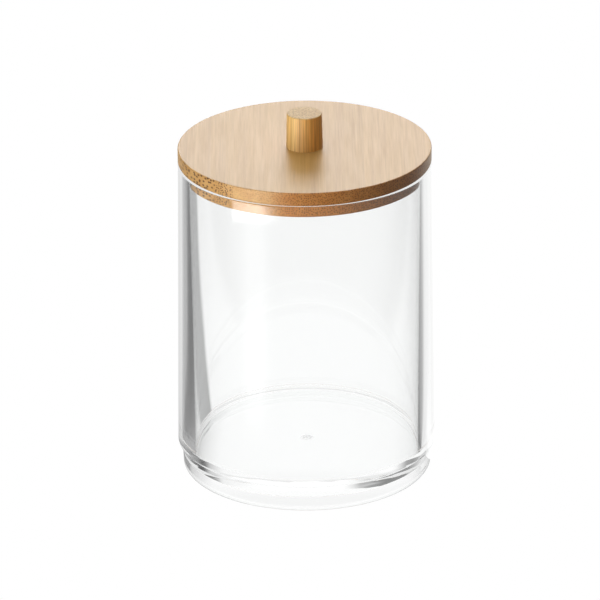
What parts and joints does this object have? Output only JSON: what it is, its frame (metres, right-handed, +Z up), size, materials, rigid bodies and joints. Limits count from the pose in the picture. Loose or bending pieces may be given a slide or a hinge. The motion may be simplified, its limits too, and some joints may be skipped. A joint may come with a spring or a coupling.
{
  "type": "lidded storage jar",
  "caption": "Round clear thick-walled storage jar on a set-in foot ring, with a lift-off flat bamboo lid that plugs into the mouth and a small bamboo knob.",
  "frame": {"origin": "on the jar's axis, at the plane that the foot ring stands on", "axes": "+Z up along the jar's axis; -Y is the side that faces the viewer, and the lid's strips run along Y"},
  "size_m": [0.0978, 0.0978, 0.1419],
  "materials": {
    "clear_plastic": "clear, polished",
    "lid_bamboo": "sanded and oiled, glued-up strips",
    "knob_bamboo": "turned and oiled",
    "screw_steel": "zinc plated"
  },
  "bodies": {
    "jar": {"jar_body": "clear_plastic"},
    "lid_with_knob": {"lid": "lid_bamboo", "knob": "knob_bamboo", "knob_screw": "screw_steel"}
  },
  "joints": [
    {"name": "lid_lift", "type": "slide", "parent": "jar", "child": "lid_with_knob", "axis": [0, 0, 1], "range_m": [0, 0.06]}
  ]
}
